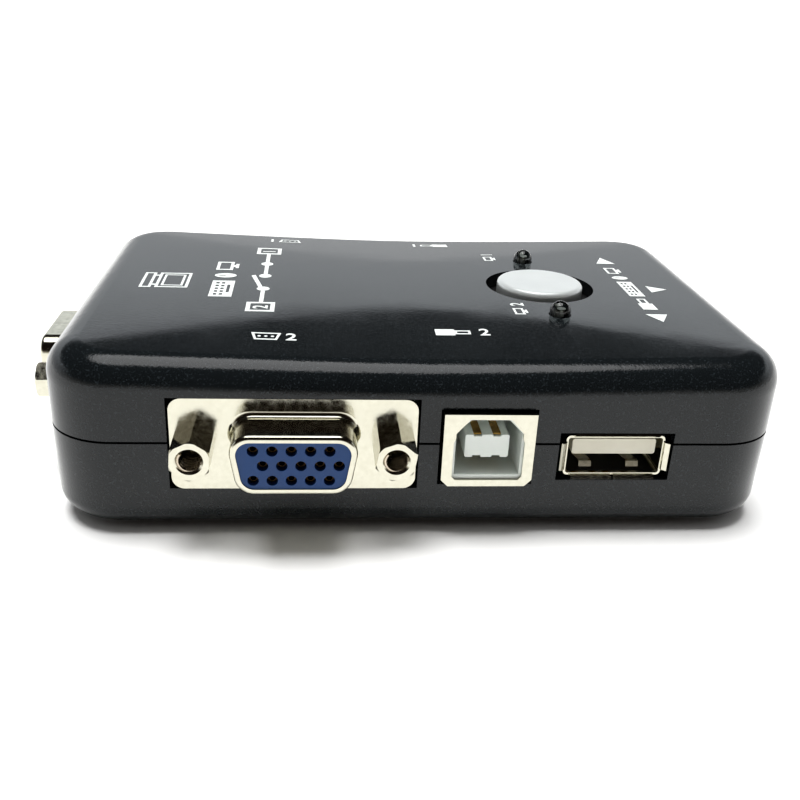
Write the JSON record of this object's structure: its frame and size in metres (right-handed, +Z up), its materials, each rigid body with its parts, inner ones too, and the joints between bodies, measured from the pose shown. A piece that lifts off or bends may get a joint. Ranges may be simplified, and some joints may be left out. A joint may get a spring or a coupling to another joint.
{
  "type": "kvm switch",
  "caption": "Small black desktop box with a push button that switches one VGA monitor and one set of USB devices between computers.",
  "frame": {"origin": "centre of the case's footprint on the plane that the feet stand on", "axes": "+X along the length towards the console USB end, -Y towards the front ports, +Z up"},
  "size_m": [0.1023, 0.077, 0.0264],
  "materials": {
    "aluminium_can": "satin",
    "black_abs": "fine spark-eroded grain",
    "black_nylon": "matt",
    "black_rubber": "matt",
    "blue_thermoplastic": "semi-gloss",
    "ceramic_chip": "matt",
    "chip_epoxy": "matt",
    "clear_epoxy": "clear",
    "gold_contact": "gold flashed",
    "ivory_thermoplastic": "semi-gloss",
    "nickel_plate": "bright nickel plated",
    "silver_paint": "silver lacquer",
    "solder_mask": "semi-gloss",
    "tinned_metal": "tinned",
    "white_thermoplastic": "semi-gloss",
    "zinc_steel": "zinc plated"
  },
  "bodies": {
    "case": {"back_light": "clear_epoxy", "back_usb_a_contacts": "gold_contact", "back_usb_a_shell": "nickel_plate", "back_usb_a_tongue": "ivory_thermoplastic", "back_usb_b_contacts": "gold_contact", "back_usb_b_insulator": "white_thermoplastic", "back_usb_b_shell": "nickel_plate", "back_vga_bracket": "nickel_plate", "back_vga_contacts": "gold_contact", "back_vga_insulator": "blue_thermoplastic", "back_vga_jackscrews": "nickel_plate", "back_vga_shell": "nickel_plate", "bottom_shell": "black_abs", "case_screws": "zinc_steel", "chip_legs": "tinned_metal", "chip_passives": "ceramic_chip", "circuit_board": "solder_mask", "console_usb_a_contacts": "gold_contact", "console_usb_a_shell": "nickel_plate", "console_usb_a_tongue": "ivory_thermoplastic", "crystal": "tinned_metal", "electrolytic_capacitors": "aluminium_can", "front_light": "clear_epoxy", "front_usb_a_contacts": "gold_contact", "front_usb_a_shell": "nickel_plate", "front_usb_a_tongue": "ivory_thermoplastic", "front_usb_b_contacts": "gold_contact", "front_usb_b_insulator": "white_thermoplastic", "front_usb_b_shell": "nickel_plate", "front_vga_bracket": "nickel_plate", "front_vga_contacts": "gold_contact", "front_vga_insulator": "blue_thermoplastic", "front_vga_jackscrews": "nickel_plate", "front_vga_shell": "nickel_plate", "light_leads": "tinned_metal", "monitor_vga_bracket": "nickel_plate", "monitor_vga_contacts": "gold_contact", "monitor_vga_insulator": "blue_thermoplastic", "monitor_vga_jackscrews": "nickel_plate", "monitor_vga_shell": "nickel_plate", "rubber_feet": "black_rubber", "tact_switch_body": "black_nylon", "tact_switch_frame": "tinned_metal", "top_shell": "black_abs", "usb_switch_chip": "chip_epoxy", "video_switch_chips": "chip_epoxy"},
    "button": {"button_cap": "silver_paint", "button_plunger": "black_nylon", "tact_switch_stem": "black_nylon"}
  },
  "joints": [
    {"name": "button_press", "type": "slide", "parent": "case", "child": "button", "axis": [0, 0, -1], "range_m": [0, 0.0005], "stiffness_N_per_m": 1500, "springref_m": -0.0004}
  ]
}
